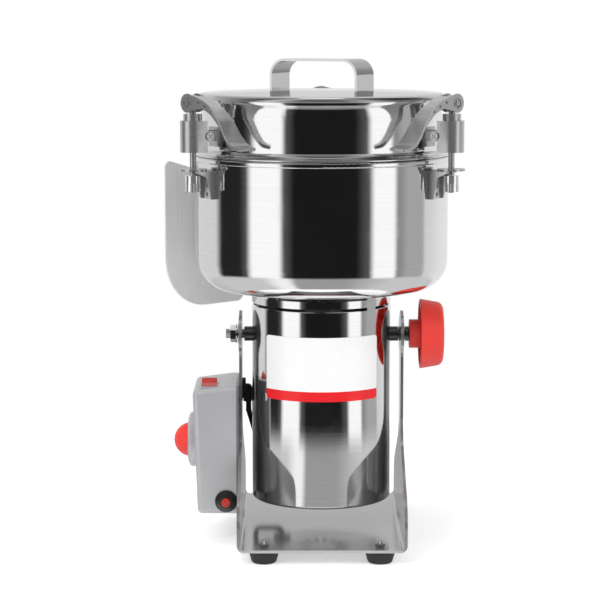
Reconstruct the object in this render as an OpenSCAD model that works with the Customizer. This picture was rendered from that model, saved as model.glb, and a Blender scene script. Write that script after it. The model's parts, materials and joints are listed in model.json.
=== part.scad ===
// Tilting electric spice grinder: a round grinding bowl on a motor, hung by two
// trunnion studs in a bent sheet cradle. The origin is on the motor's axis, at the
// floor. +X is to the right, -Y is the front and +Z is up.

/* [Cradle] */
// Thickness of the bent sheet
sheet_t = 2.4; // [2:0.1:3.2]
// Clear gap between the two ears
ear_gap = 135.6; // [134:0.2:138]
// Front to back depth of the base plate
base_depth = 210; // [200:2:230]
// Height of the underside of the base plate
base_lift = 10.5; // [9:0.1:12]
// Outer radius of the two bends
bend_r = 6; // [4.5:0.5:8]
// How far the tilt axis lies below the top of the motor housing
pivot_drop = 26; // [22:0.5:28]
// Radius of the round top of an ear
ear_head_r = 20; // [17:1:22]
// Rise of the pressed dome on each face of an ear's head
ear_dome = 1.5; // [0.8:0.1:2]
// Width of an ear's neck
neck_w = 28; // [24:1:32]
// Slope of an ear's lower flank
flank_angle = 27; // [20:1:32]
// Radius where the neck runs into the flank
flank_fillet_r = 36; // [25:1:40]
// Radius of the flank's outer shoulder
shoulder_r = 26; // [20:1:30]
// Height above the base plate at which the flank would meet the plate's end
shoulder_rise = 34; // [31:1:38]

/* [Feet] */
// Top diameter of a rubber foot
foot_top_d = 25; // [22:0.5:27]
// Bottom diameter of a rubber foot
foot_bottom_d = 20; // [17:0.5:22]
// Distance of a foot's middle from the ear's inner face
foot_inset = 19.8; // [17:0.2:24]
// Distance of a foot's middle from the base plate's end
foot_end_inset = 13; // [12:0.5:20]

/* [Control box] */
// Sideways reach of the box at its top
box_reach = 38.9; // [36:0.1:41]
// How much less the box reaches at its bottom
box_taper = 3.6; // [0:0.2:5]
// How much lower the box's top is at its outer side
box_slope = 3.7; // [0:0.1:5]
// Front to back width of the box
box_w = 74; // [70:1:80]
// Height of the box's bottom above the base plate's underside
box_lift = 16.5; // [14:0.5:20]
// Height of the box
box_h = 110.5; // [106:0.5:114]
// Wall of the box
box_wall = 2.2; // [1.6:0.2:3]
// Outer edge rounding of the box
box_edge_r = 4.2; // [3.6:0.2:5]
// Height of the timer's axis above the box's bottom
timer_rise = 57.8; // [54:0.2:62]
// Diameter of the timer's raised dial
dial_d = 47; // [42:1:50]
// Diameter of the timer knob
timer_knob_d = 29; // [24:1:32]
// Height of the domed timer knob
timer_knob_h = 12; // [10:0.5:14]
// Width of the rocker
rocker_w = 13; // [11:0.2:14]
// Length of the rocker
rocker_l = 20; // [18:0.2:22]
// Diameter of the reset switch's ring
reset_ring_d = 19; // [17:0.2:20]
// Diameter of the reset button
reset_button_d = 7.7; // [6:0.1:9]

/* [Motor] */
// Outer radius of the motor housing
motor_r = 59.4; // [58:0.1:60]
// Clear gap between the base plate and the motor
motor_lift = 23.2; // [20:0.2:26]
// Height of the motor housing
motor_h = 167; // [162:1:172]
// Wall of the motor housing
motor_wall = 1.6; // [1.2:0.2:2.4]
// Height of the vent collar
collar_h = 14.6; // [13:0.2:16]
// Radius of the motor shaft
shaft_r = 6; // [5:0.5:7]
// Turn of half the label round the housing
label_angle = 51.3; // [40:0.3:56]
// Height of the label's bottom above the motor's
label_rise = 92; // [88:1:96]
// Height of the label
label_h = 54; // [48:1:58]

/* [Tilt clamp] */
// Radius of the trunnion studs
stud_r = 4; // [3.5:0.25:5]
// Diameter of the clamp knob
knob_d = 60; // [54:1:64]
// Depth of the clamp knob's disc
knob_depth = 19.8; // [18:0.2:22]
// Diameter of the clamp knob's hub
knob_hub_d = 24.6; // [22:0.2:27]

/* [Bowl] */
// Outer radius of the bowl
bowl_r = 107.5; // [104:0.5:110]
// Height of the bowl
bowl_h = 113.3; // [110:0.1:118]
// Rounding of the bowl's outer bottom
bowl_round_r = 25; // [18:1:28]
// How far the rolled rim stands out from the bowl's wall
rim_out = 1.5; // [1:0.1:2]
// Distance from the bowl's outer wall in to the grinding chamber
chamber_inset = 11.5; // [10.5:0.1:14]
// Height of the chamber's floor above the bowl's bottom
chamber_rise = 20.8; // [20:0.2:24]
// Clear gap between the blades' tips and the chamber's wall
blade_gap = 12; // [8:1:20]

/* [Lid] */
// Distance from the bowl's outer wall in to the lid's wall
lid_inset = 5.5; // [5.5:0.1:6]
// How far the lid's bottom flange stands out from its wall
flange_step = 6.5; // [6.2:0.1:6.8]
// How far the lid's rolled brim stands out from its wall
brim_step = 3; // [1.8:0.1:3.2]
// Height of the lid's edge above the bowl's rim
lid_h = 52.4; // [50:0.2:54]
// Rise of the lid's top to its middle
lid_crown = 2.6; // [1.5:0.1:3]
// Span of the handle
handle_span = 84; // [78:1:90]
// Width of the handle's strap
handle_w = 30; // [24:1:34]
// Height of the handle above the lid's edge
handle_h = 28.6; // [25:0.2:32]
// Turn of the handle about the lid's axis
handle_turn = -30; // [-60:5:0]

/* [Latches] */
// Distance of a latch rod from the bowl's outer wall
rod_out = 15; // [14.6:0.1:15.6]
// Radius of a latch rod
rod_r = 2.6; // [2.2:0.1:3]
// How much nearer to the lid a latch's hinge pin is than its rod
hinge_in = 10; // [9.8:0.1:10.2]
// Height of a latch's hinge pin above the rim
hinge_rise = 19; // [18.6:0.1:19.4]
// Height of a lever's eye above the rim
eye_rise = 46; // [45.6:0.1:46.4]
// Outer radius of a lever's eye
eye_r = 7.8; // [7.2:0.1:7.9]
// Reach of a lever from its eye
lever_reach = 66; // [64:0.5:66]
// Turn of a lever towards the lid
lever_turn = 14; // [12:0.5:14]

/* [Guard] */
// Bearing of the line where the guard plate touches the bowl
guard_azimuth = 133; // [125:1:140]
// Length of the guard plate beyond that line
guard_len = 82; // [60:1:86]
// How far the guard reaches below the bowl's bottom
guard_drop = 22.9; // [16:0.1:26]
// How far the guard's outer top corner lies below the rim
guard_top_drop = 6; // [5:1:20]
// Slope of the guard's top edge
guard_slope = 16; // [0:1:18]

/* [Hidden] */
$fn = 96;
arc_step = 6;
fine = 360;
cut = 1;
gap = 0.3;
fit = 0.05;
clear = 0.5;
touch = 0.02;

ear_in = ear_gap / 2;
ear_out = ear_in + sheet_t;
base_half = base_depth / 2;
plate_top = base_lift + sheet_t;
motor_bottom_z = plate_top + motor_lift;
motor_top_z = motor_bottom_z + motor_h;
pivot_z = motor_top_z - pivot_drop;
bowl_bottom_z = motor_top_z + collar_h;
rim_z = bowl_bottom_z + bowl_h;
rim_r = bowl_r + rim_out;
chamber_r = bowl_r - chamber_inset;
chamber_floor_z = bowl_bottom_z + chamber_rise;
blade_r = chamber_r - blade_gap;
lid_wall_r = bowl_r - lid_inset;
lid_flange_r = lid_wall_r + flange_step;
brim_r = lid_wall_r + brim_step;
lid_top_z = rim_z + lid_h;
handle_top_z = lid_top_z + handle_h;
rod_at = bowl_r + rod_out;
hinge_at = rod_at - hinge_in;
hinge_z = rim_z + hinge_rise;
eye_z = rim_z + eye_rise;
thread_r = 1.9;
pan_head_r = 3.7;
pan_head_h = 2.4;
crown_share = 1.5;

steel = [0.80, 0.80, 0.82];
dark_steel = [0.45, 0.45, 0.47];
satin = [0.66, 0.67, 0.69];
black = [0.08, 0.08, 0.09];
red = [0.86, 0.12, 0.10];
copper = [0.72, 0.42, 0.22];

// Unit vector along v
function unit(v) = v / norm(v);

// Points that round the corner b between a and c with radius r
function corner(a, b, c, r) =
    let (u = unit(a - b), w = unit(c - b), half = acos(u * w) / 2,
        mid = b + unit(u + w) * r / sin(half),
        start = b + u * r / tan(half) - mid, stop = b + w * r / tan(half) - mid,
        first = atan2(start[1], start[0]), raw = atan2(stop[1], stop[0]) - first,
        turn = raw > 180 ? raw - 360 : raw < -180 ? raw + 360 : raw,
        steps = max(2, ceil(abs(turn) / arc_step)))
    [for (i = [0:steps]) mid + r * [cos(first + turn * i / steps), sin(first + turn * i / steps)]];

// Outline through the points, each corner rounded with its own radius or left sharp
function rounded(points, radii) =
    let (n = len(points))
    [for (i = [0:n - 1])
        each radii[i] == 0 ? [points[i]]
            : corner(points[(i + n - 1) % n], points[i], points[(i + 1) % n], radii[i])];

// Ring standing on z = 0
module ring(r_out, r_in, h) {
    difference() {
        cylinder(r = r_out, h = h);
        translate([0, 0, -cut]) cylinder(r = r_in, h = h + 2 * cut);
    }
}

// Cylinder along X between two places
module rod_x(from, to, r) {
    translate([min(from, to), 0, 0]) rotate([0, 90, 0]) cylinder(r = r, h = abs(to - from));
}

// Ring along X between two places
module ring_x(from, to, r_out, r_in) {
    translate([min(from, to), 0, 0]) rotate([0, 90, 0]) ring(r_out, r_in, abs(to - from));
}

// Rectangle with round corners, centred
module soft_rect(w, h, r) {
    square([w - 2 * r, h], center = true);
    square([w, h - 2 * r], center = true);
    for (x = [-1, 1], y = [-1, 1]) {
        translate([x * (w / 2 - r), y * (h / 2 - r)]) circle(r = r);
    }
}

// Block with true arc edges along Z, centred in plan and standing on z = 0
module soft_block(w, d, h, r) {
    linear_extrude(h) soft_rect(w, d, r);
}

// Flat outline in the YZ plane made solid between two places on X
module slab_x(from, to) {
    translate([from, 0, 0]) rotate([90, 0, 90]) linear_extrude(to - from) children();
}

// Pan head screw with its head's seat at z = 0 and its shank below
module pan_screw(shank_r, shank_l, head_r, head_h) {
    arch_r = head_r * crown_share;
    translate([0, 0, -shank_l]) cylinder(r = shank_r, h = shank_l + head_h / 2);
    rotate_extrude() intersection() {
        square([head_r, head_h]);
        translate([0, head_h - arch_r]) circle(r = arch_r);
    }
}

// Cradle
box_bottom_z = base_lift + box_lift;
box_top_z = box_bottom_z + box_h;
box_hole_y = box_w / 2 - 2 * pan_head_r;
box_hole_inset = 13;
box_hole_zs = [box_bottom_z + box_hole_inset, box_top_z - box_hole_inset];
grommet_y = 14;
grommet_drop = 10.2;
grommet_z = box_top_z - grommet_drop;
grommet_hole_r = 6;
foot_x = ear_in - foot_inset;
foot_y = base_half - foot_end_inset;

module bent_section() {
    translate([-ear_out, base_lift + bend_r])
        square([2 * ear_out, pivot_z + ear_head_r - base_lift - bend_r]);
    translate([-ear_out + bend_r, base_lift]) square([2 * (ear_out - bend_r), bend_r]);
    for (s = [-1, 1]) {
        translate([s * (ear_out - bend_r), base_lift + bend_r]) circle(r = bend_r);
    }
}

module bent_hollow() {
    inner_r = bend_r - sheet_t;
    top_z = pivot_z + ear_head_r + cut;
    translate([-ear_in, plate_top + inner_r]) square([2 * ear_in, top_z - plate_top]);
    translate([-ear_in + inner_r, plate_top]) square([2 * (ear_in - inner_r), 2 * inner_r]);
    for (s = [-1, 1]) {
        translate([s * (ear_in - inner_r), plate_top + inner_r]) circle(r = inner_r);
    }
}

module flank_outline() {
    neck = neck_w / 2;
    shoulder_z = base_lift + shoulder_rise;
    meet_z = shoulder_z + (base_half - neck) * tan(flank_angle);
    right = [[neck, pivot_z], [neck, meet_z], [base_half, shoulder_z], [base_half, 0]];
    radii = [0, flank_fillet_r, shoulder_r, 0];
    left = [for (i = [len(right) - 1:-1:0]) [-right[i][0], right[i][1]]];
    left_radii = [for (i = [len(radii) - 1:-1:0]) radii[i]];
    polygon(rounded(concat(right, left), concat(radii, left_radii)));
}

// Concave fillets between an ear's neck and its round head, centred on the pivot
module neck_fillets() {
    neck_fillet_r = ear_head_r * 0.6;
    reach = ear_head_r + neck_fillet_r;
    fillet_x = neck_w / 2 + neck_fillet_r;
    drop = sqrt(reach * reach - fillet_x * fillet_x);
    share = ear_head_r / reach;
    difference() {
        translate([-fillet_x * share, -drop]) square([2 * fillet_x * share, drop * (1 - share) + cut]);
        for (s = [-1, 1]) {
            translate([s * fillet_x, -drop]) circle(r = neck_fillet_r);
        }
    }
}

// Side shape of the whole cradle as a solid across its width
module side_shape() {
    wide = ear_out + cut;
    slab_x(-wide, wide) flank_outline();
    translate([0, 0, pivot_z]) {
        slab_x(-wide, wide) neck_fillets();
        rod_x(-wide, wide, ear_head_r);
    }
}

// Domes pressed out of both faces of the two ears' heads, centred on the pivot
module ear_domes() {
    dome_r = ear_head_r - gap;
    ball_r = (dome_r * dome_r + ear_dome * ear_dome) / (2 * ear_dome);
    for (s = [-1, 1], face = [-1, 1]) {
        intersection() {
            translate([s * (ear_in + sheet_t / 2) + face * (sheet_t / 2 + ear_dome - ball_r), 0, 0])
                sphere(r = ball_r, $fn = fine / 2);
            rod_x(s * (ear_in - 2 * ear_dome), s * (ear_out + 2 * ear_dome), dome_r - gap);
            translate([s * (ear_in + sheet_t / 2) + face * dome_r, 0, 0])
                cube(2 * dome_r, center = true);
        }
    }
}

// Hole through an ear for a box screw, sunk for its head on the inner face
module screw_seat() {
    rotate([0, 90, 0]) {
        translate([0, 0, -sheet_t - cut]) cylinder(r = thread_r + gap / 2, h = sheet_t + 2 * cut);
        translate([0, 0, -sheet_t]) cylinder(r1 = thread_r + gap, r2 = pan_head_r + gap, h = sheet_t + gap);
    }
}

module cradle() {
    wide = ear_out + 2 * ear_dome;
    color(steel) difference() {
        union() {
            intersection() {
                rotate([90, 0, 0]) translate([0, 0, -base_half]) linear_extrude(base_depth) difference() {
                    bent_section();
                    bent_hollow();
                }
                side_shape();
            }
            translate([0, 0, pivot_z]) ear_domes();
        }
        translate([0, 0, pivot_z]) rod_x(-wide, wide, stud_r + fit);
        for (x = [-1, 1], y = [-1, 1]) {
            translate([x * foot_x, y * foot_y, base_lift - cut])
                cylinder(r = thread_r + gap, h = sheet_t + 2 * cut);
        }
        translate([0, grommet_y, grommet_z]) rod_x(-ear_out - cut, -ear_in + cut, grommet_hole_r);
        for (y = [-1, 1], z = box_hole_zs) {
            translate([-ear_in, y * box_hole_y, z]) screw_seat();
        }
    }
}

foot_recess_r = 4.4;
foot_recess_share = 0.53;
foot_recess_h = base_lift * foot_recess_share;

module rubber_feet() {
    groove_h = base_lift * 0.2;
    color(black) for (x = [-1, 1], y = [-1, 1]) {
        translate([x * foot_x, y * foot_y, 0]) difference() {
            rotate_extrude() polygon(rounded(
                [[0, 0], [foot_bottom_d / 2, 0], [foot_top_d / 2, base_lift - groove_h],
                    [foot_top_d / 2, base_lift], [0, base_lift]],
                [0, groove_h, groove_h, 0, 0]));
            translate([0, 0, -cut]) cylinder(r = foot_recess_r, h = foot_recess_h + cut);
            translate([0, 0, foot_recess_h - cut]) cylinder(r = thread_r, h = base_lift);
        }
    }
}

// Screw up through each foot and the plate, with a nut on the plate
module foot_screws() {
    nut_r = 3.9;
    nut_h = 2.6;
    tip_h = 4.6;
    color(steel) for (x = [-1, 1], y = [-1, 1]) {
        translate([x * foot_x, y * foot_y, foot_recess_h]) rotate([180, 0, 0])
            pan_screw(thread_r - fit, plate_top + tip_h - foot_recess_h, pan_head_r, pan_head_h);
        translate([x * foot_x, y * foot_y, plate_top]) difference() {
            cylinder(r = nut_r, h = nut_h, $fn = 6);
            translate([0, 0, -cut]) cylinder(r = thread_r, h = nut_h + 2 * cut);
        }
    }
}

// Control box
back_plate_t = 2;
box_back = -ear_out - back_plate_t;
box_face = -ear_out - box_reach;
box_mid_z = (box_bottom_z + box_top_z) / 2;
box_front_y = -box_w / 2;
timer_z = box_bottom_z + timer_rise;
side_at_timer = box_face + box_taper * (box_top_z - timer_z) / box_h;
dial_rise = 7.2;
dial_face = side_at_timer - dial_rise;
dial_sink = box_taper * 0.4;
dial_back = side_at_timer + dial_sink;
spindle_r = 3;
rocker_in = 13.5;
rocker_from_front = 18;
rocker_x = box_face + rocker_in;
rocker_y = box_front_y + rocker_from_front;
rocker_turn_r = rocker_l / 2;
frame_margin = 2;
lip_w = rocker_w + 2 * frame_margin;
lip_l = rocker_l + 2 * frame_margin;
lip_h = 2.4;
lip_r = 3;
slope_from = box_back - box_edge_r;
slope_share = box_slope / (slope_from - box_face - box_edge_r);
seat_z = box_top_z - slope_share * (slope_from - rocker_x + lip_w / 2);
rocker_axis_z = seat_z + gap;
reset_in = 10.8;
reset_rise = 11.5;
reset_x = -ear_out - reset_in;
reset_z = box_bottom_z + reset_rise;
reset_barrel_r = 6;
gland_in = 15.8;
gland_rise = 18;
gland_x = -ear_out - gland_in;
gland_z = box_bottom_z + gland_rise;
gland_hole_r = 6;
cord_r = 3.2;
lug_t = 0.6;

// Rounded tapering block that fills the box, drawn in by a margin
module box_block(inset) {
    r = box_edge_r - inset * 0.6;
    low = inset + r;
    side_y = box_w / 2 - low;
    past = inset > 0 ? cut : 0;
    hull() for (y = [-side_y, side_y]) {
        translate([box_face + low, y, box_top_z - box_slope - low]) sphere(r = r, $fn = 32);
        translate([box_face + box_taper + low, y, box_bottom_z + low]) sphere(r = r, $fn = 32);
        for (z = [box_top_z - low, box_bottom_z + low]) {
            translate([box_back - low, y, z]) rotate([0, 90, 0]) cylinder(r = r, h = low + past, $fn = 32);
        }
    }
}

module control_box() {
    dial_seat_r = dial_d / 2 + fit;
    color(satin) difference() {
        box_block(0);
        box_block(box_wall);
        translate([0, 0, timer_z]) rod_x(dial_back, dial_face, dial_seat_r);
        translate([0, 0, timer_z]) rod_x(dial_back - cut, dial_back + 2 * box_wall, 1.5 * spindle_r);
        translate([rocker_x, rocker_y, seat_z])
            soft_block(lip_w + gap, lip_l + gap, box_slope + lip_h, lip_r);
        translate([rocker_x, rocker_y, seat_z - 3 * box_wall])
            soft_block(rocker_w + frame_margin, rocker_l + frame_margin, 4 * box_wall, lip_r / 2);
        translate([reset_x, box_front_y - cut, reset_z]) rotate([-90, 0, 0])
            cylinder(r = reset_barrel_r + fit, h = 3 * box_wall);
        translate([gland_x, -box_front_y + cut, gland_z]) rotate([90, 0, 0])
            cylinder(r = gland_hole_r, h = 3 * box_wall);
    }
}

module box_back_plate() {
    color(dark_steel) difference() {
        translate([0, 0, box_mid_z]) slab_x(box_back, -ear_out)
            soft_rect(box_w - 2 * clear, box_h - 2 * clear, box_edge_r);
        translate([0, grommet_y, grommet_z]) rod_x(box_back - cut, -ear_out + cut, grommet_hole_r);
        for (y = [-1, 1], z = box_hole_zs) {
            translate([0, y * box_hole_y, z]) rod_x(box_back - cut, -ear_out + cut, thread_r);
        }
    }
}

module box_screws() {
    color(steel) for (y = [-1, 1], z = box_hole_zs) {
        translate([-ear_in, y * box_hole_y, z]) rotate([0, 90, 0]) {
            translate([0, 0, -sheet_t]) cylinder(r1 = thread_r - fit, r2 = pan_head_r, h = sheet_t - fit);
            translate([0, 0, -sheet_t - 2 * back_plate_t])
                cylinder(r = thread_r - fit, h = sheet_t / 2 + 2 * back_plate_t);
        }
    }
}

module timer_dial() {
    full_h = dial_rise + dial_sink - fit;
    dial_r = dial_d / 2;
    color(satin) translate([0, 0, timer_z]) rotate([0, -90, 0]) translate([0, 0, -dial_back + fit])
        difference() {
            rotate_extrude() polygon(rounded(
                [[0, 0], [dial_r, 0], [dial_r, full_h * 0.76], [dial_r - full_h * 0.6, full_h], [0, full_h]],
                [0, 0, dial_rise * 0.25, dial_rise * 0.25, 0]));
            translate([0, 0, -cut]) cylinder(r = spindle_r + clear, h = full_h + 2 * cut);
        }
}

module timer_unit() {
    unit_w = 40;
    unit_r = 3;
    unit_from = dial_back + box_wall + clear;
    unit_depth = 20;
    lug_l = 5;
    lug_w = 6;
    color(black) difference() {
        translate([0, 0, timer_z]) union() {
            slab_x(unit_from, unit_from + unit_depth) soft_rect(unit_w, unit_w, unit_r);
            for (y = [-1, 1]) {
                translate([unit_from + unit_depth, y * unit_w / 4 - lug_w / 2, -unit_w / 4])
                    cube([lug_l, lug_w, 3 * lug_t]);
            }
        }
        translate([0, 0, timer_z]) rod_x(unit_from - cut, unit_from + unit_depth * 0.7, spindle_r + fit);
    }
}

module switch_frame() {
    depth = 20;
    slot_l = rocker_l + 2 * gap;
    lug_w = 4.8;
    lug_l = 6;
    color(satin) translate([rocker_x, rocker_y, seat_z]) difference() {
        union() {
            soft_block(lip_w, lip_l, lip_h, lip_r);
            translate([0, 0, -depth])
                soft_block(rocker_w + frame_margin - gap, rocker_l + frame_margin - gap, depth, lip_r / 2);
            for (y = [-1, 0, 1]) {
                translate([-lug_w / 2, y * rocker_l / 3 - lug_t / 2, -depth - lug_l])
                    cube([lug_w, lug_t, lug_l + cut]);
            }
        }
        translate([0, 0, -depth * 0.7]) soft_block(rocker_w + gap, slot_l, depth + lip_h, clear);
    }
}

module power_rocker() {
    lean = 12;
    end_x = rocker_turn_r * 1.2;
    low_z = -rocker_turn_r * 0.4;
    end_z = rocker_turn_r * 0.5;
    middle_z = rocker_turn_r * 0.34;
    color(red) translate([rocker_x, rocker_y, rocker_axis_z]) rotate([lean, 0, 0]) intersection() {
        rod_x(-rocker_w / 2, rocker_w / 2, rocker_turn_r);
        slab_x(-rocker_w, rocker_w) polygon(
            [[-end_x, low_z], [end_x, low_z], [end_x, end_z], [0, middle_z], [-end_x, end_z]]);
        translate([0, 0, low_z]) soft_block(rocker_w, rocker_l, rocker_l, lip_r * 0.8);
    }
}

module reset_switch() {
    ring_h = 5.4;
    barrel_l = 22;
    lug_w = 4.8;
    lug_l = 6;
    button_r = reset_button_d / 2;
    color(black) translate([reset_x, box_front_y, reset_z]) rotate([90, 0, 0]) difference() {
        union() {
            rotate_extrude() polygon(rounded(
                [[0, 0], [reset_ring_d / 2, 0], [reset_ring_d / 2, ring_h * 0.35],
                    [button_r * 1.4, ring_h], [0, ring_h]],
                [0, 0, ring_h * 0.2, ring_h * 0.15, 0]));
            translate([0, 0, -barrel_l]) cylinder(r = reset_barrel_r - fit, h = barrel_l + cut);
            for (x = [-1, 1]) {
                translate([x * reset_barrel_r / 2 - lug_t / 2, -lug_w / 2, -barrel_l - lug_l])
                    cube([lug_t, lug_w, lug_l + cut]);
            }
        }
        translate([0, 0, -barrel_l * 0.6]) cylinder(r = button_r + fit, h = barrel_l);
    }
}

module reset_button() {
    button_l = 11;
    proud = 8.2;
    edge_r = 0.9;
    color(red) translate([reset_x, box_front_y - proud, reset_z]) rotate([-90, 0, 0])
        rotate_extrude() polygon(rounded(
            [[0, 0], [reset_button_d / 2, 0], [reset_button_d / 2, button_l], [0, button_l]],
            [0, edge_r, 0, 0]));
}

module terminal_block() {
    block_l = 34;
    block_t = 12;
    block_h = 14;
    block_rise = 20;
    pitch = 8;
    screw_r = 2.2;
    color(satin) translate([box_back - block_t, 0, box_bottom_z + block_rise]) difference() {
        translate([0, -block_l / 2, 0]) cube([block_t, block_l, block_h]);
        for (i = [-1.5:1:1.5]) {
            translate([block_t / 2, i * pitch, block_h / 2]) cylinder(r = screw_r, h = block_h);
        }
    }
}

module cord_gland() {
    flange_r = 8.6;
    flange_t = 2.4;
    nut_t = 5;
    body_l = 17;
    tip_r = 5;
    color(black) translate([gland_x, -box_front_y, gland_z]) rotate([-90, 0, 0]) difference() {
        union() {
            translate([0, 0, -nut_t]) cylinder(r = gland_hole_r - fit, h = nut_t + cut);
            translate([0, 0, -nut_t]) cylinder(r = flange_r, h = nut_t - box_wall - fit, $fn = 6);
            cylinder(r = flange_r, h = flange_t);
            translate([0, 0, flange_t - fit])
                cylinder(r1 = flange_r * 0.8, r2 = tip_r, h = body_l - flange_t + fit);
        }
        translate([0, 0, -nut_t - cut]) cylinder(r = cord_r, h = body_l + nut_t + 2 * cut);
    }
}

// Motor's lead and the boot it leaves, which pass each other at one radius about the tilt axis
lead_r = 2.3;
boot_x = -ear_in + 4.2;
swing_share = 1.25;
swing_r = (pivot_z - grommet_z) * swing_share;

module lead_grommet() {
    flange_r = 9;
    flange_t = 2.4;
    boot_r = 3.9;
    bore_r = 1.2;
    color(black) intersection() {
        translate([0, grommet_y, grommet_z]) union() {
            ring_x(-ear_in, -ear_in + flange_t, flange_r, bore_r);
            ring_x(box_back - flange_t, -ear_in + fit, grommet_hole_r - fit, bore_r);
            ring_x(box_back - flange_t, box_back, grommet_hole_r + flange_t / 2, bore_r);
            rod_x(-ear_in + flange_t / 2, boot_x, boot_r);
            translate([boot_x, 0, 0]) sphere(r = boot_r);
            translate([boot_x, 0, -swing_r]) cylinder(r = boot_r, h = swing_r);
        }
        translate([0, 0, pivot_z]) rod_x(box_back - 2 * flange_t, 0, swing_r);
    }
}

module timer_knob() {
    knob_from = -dial_face + gap;
    knob_r = timer_knob_d / 2;
    ball_r = (knob_r * knob_r + timer_knob_h * timer_knob_h) / (2 * timer_knob_h);
    color(red) translate([0, 0, timer_z]) rotate([0, -90, 0]) translate([0, 0, knob_from]) difference() {
        rotate_extrude() intersection() {
            square([knob_r, timer_knob_h]);
            translate([0, timer_knob_h - ball_r]) circle(r = ball_r);
        }
        translate([0, 0, -cut]) cylinder(r = spindle_r, h = timer_knob_h * 0.6 + cut);
    }
}

module timer_spindle() {
    inside_l = 12;
    color(steel) translate([0, 0, timer_z])
        rod_x(dial_face - gap - timer_knob_h * 0.6, dial_back + box_wall + inside_l, spindle_r - fit / 2);
}

// Motor
inner_motor_r = motor_r - motor_wall - fit;
boss_r = 9;
boss_in = motor_r - 13.4;
spacer_r = 6.25;
ear_play = ear_dome + gap;
stud_proud = 9.7;
stud_left_end = -ear_out - ear_play - stud_proud;
washer_t = 3.2;
washer_from = ear_out + ear_play;
knob_from = washer_from + washer_t + gap;
knob_hub_l = 9;
stud_right_end = knob_from + 2 * knob_hub_l;
gland_share = 0.57;
gland_side_share = 0.505;
gland_at = [-motor_r * gland_share, motor_r * gland_side_share];
gland_r = 5;
label_t = 0.5;
label_bottom_z = motor_bottom_z + label_rise;
bearing_r = 13;
bearing_w = 10;
bell_z = [motor_bottom_z + 14, motor_top_z - 12];
stator_h = 54;
stator_z = bell_z[0] + 44;
winding_over = 8;
armature_r = 28;

module motor_housing() {
    edge_r = 2;
    vent_w = 4;
    vent_l = 12;
    vent_at = 14;
    vent_step = 20;
    color(steel) difference() {
        rotate_extrude() difference() {
            union() {
                translate([0, motor_bottom_z + edge_r]) square([motor_r, motor_h - edge_r]);
                translate([0, motor_bottom_z]) square([motor_r - edge_r, 2 * edge_r]);
                translate([motor_r - edge_r, motor_bottom_z + edge_r]) circle(r = edge_r);
            }
            translate([0, motor_bottom_z + motor_wall]) square([motor_r - motor_wall, motor_top_z]);
            translate([-motor_r, motor_bottom_z]) square([motor_r, motor_top_z]);
        }
        translate([0, 0, pivot_z]) rod_x(-motor_r - cut, motor_r + cut, stud_r + fit);
        translate([gland_at[0], gland_at[1], motor_bottom_z - cut])
            cylinder(r = gland_r, h = motor_wall + 2 * cut);
        for (i = [-7:7]) {
            rotate([0, 0, i * vent_step]) translate([vent_at, -vent_w / 2, motor_bottom_z - cut])
                cube([vent_l, vent_w, motor_wall + 2 * cut]);
        }
    }
}

module vent_collar() {
    ring_h = collar_h * 0.425;
    ring_rise = collar_h * 0.19;
    lug_w = 10;
    inner_r = motor_r - 6;
    color(steel) {
        translate([0, 0, motor_top_z + ring_rise]) ring(motor_r, inner_r, ring_h);
        intersection() {
            translate([0, 0, motor_top_z]) ring(motor_r - gap, inner_r + gap, collar_h);
            for (a = [45:90:315]) {
                rotate([0, 0, a]) translate([0, -lug_w / 2, motor_top_z])
                    cube([motor_r + cut, lug_w, collar_h]);
            }
        }
    }
}

brush_at = 27;
brush_z = bell_z[0] + 23;
brush_w = 7;
brush_l = 20;
brush_h = 9;

// Two posts that hold the carbon brushes, standing on the lower end bell
module brush_posts() {
    post_h = brush_z - brush_h / 2 - gap - bell_z[0];
    arm_from = bearing_r + cut;
    for (a = [90, 270]) {
        rotate([0, 0, a]) {
            translate([arm_from, -brush_w / 2, 0])
                cube([brush_at + brush_l / 2 - arm_from, brush_w, bearing_w / 2]);
            translate([brush_at - brush_l / 3, -brush_w / 2, 0]) cube([brush_l * 0.7, brush_w, post_h]);
        }
    }
}

module end_bells() {
    rim_w = 4;
    hub_r = bearing_r + 5;
    spoke_w = 10;
    color(satin) for (i = [0, 1]) {
        translate([0, 0, bell_z[i]]) difference() {
            union() {
                ring(inner_motor_r, inner_motor_r - rim_w, bearing_w);
                cylinder(r = hub_r, h = bearing_w + cut);
                for (a = [45:90:315]) {
                    rotate([0, 0, a]) translate([0, -spoke_w / 2, 0])
                        cube([inner_motor_r - rim_w / 2, spoke_w, bearing_w * 0.6]);
                }
                if (i == 0) {
                    brush_posts();
                }
            }
            translate([0, 0, -cut]) cylinder(r = bearing_r, h = bearing_w + 3 * cut);
        }
    }
}

module stator_core() {
    core_r = 50;
    bore_r = armature_r + 2 * gap;
    slot_at = 33;
    slot_w = 22;
    slot_l = 46;
    slot_round_r = 5;
    color(dark_steel) translate([0, 0, stator_z]) difference() {
        cylinder(r = core_r, h = stator_h);
        translate([0, 0, -cut]) cylinder(r = bore_r, h = stator_h + 2 * cut);
        for (x = [-1, 1]) {
            translate([x * slot_at, 0, -cut]) soft_block(slot_w, slot_l, stator_h + 2 * cut, slot_round_r);
        }
    }
}

module field_windings() {
    coil_w = 15;
    coil_l = 42;
    coil_r = 5;
    eye_w = 5;
    eye_l = 24;
    coil_h = stator_h + 2 * winding_over;
    coil_at = armature_r + 2 * gap + coil_w / 2;
    color(copper) for (x = [-1, 1]) {
        translate([x * coil_at, 0, stator_z - winding_over]) difference() {
            soft_block(coil_w, coil_l, coil_h, coil_r);
            translate([0, 0, -cut]) soft_block(eye_w, eye_l, coil_h + 2 * cut, eye_w * 0.4);
        }
    }
}

module carbon_brushes() {
    color(black) for (s = [-1, 1]) {
        translate([0, s * brush_at, brush_z]) cube([brush_w, brush_l, brush_h], center = true);
    }
}

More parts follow.
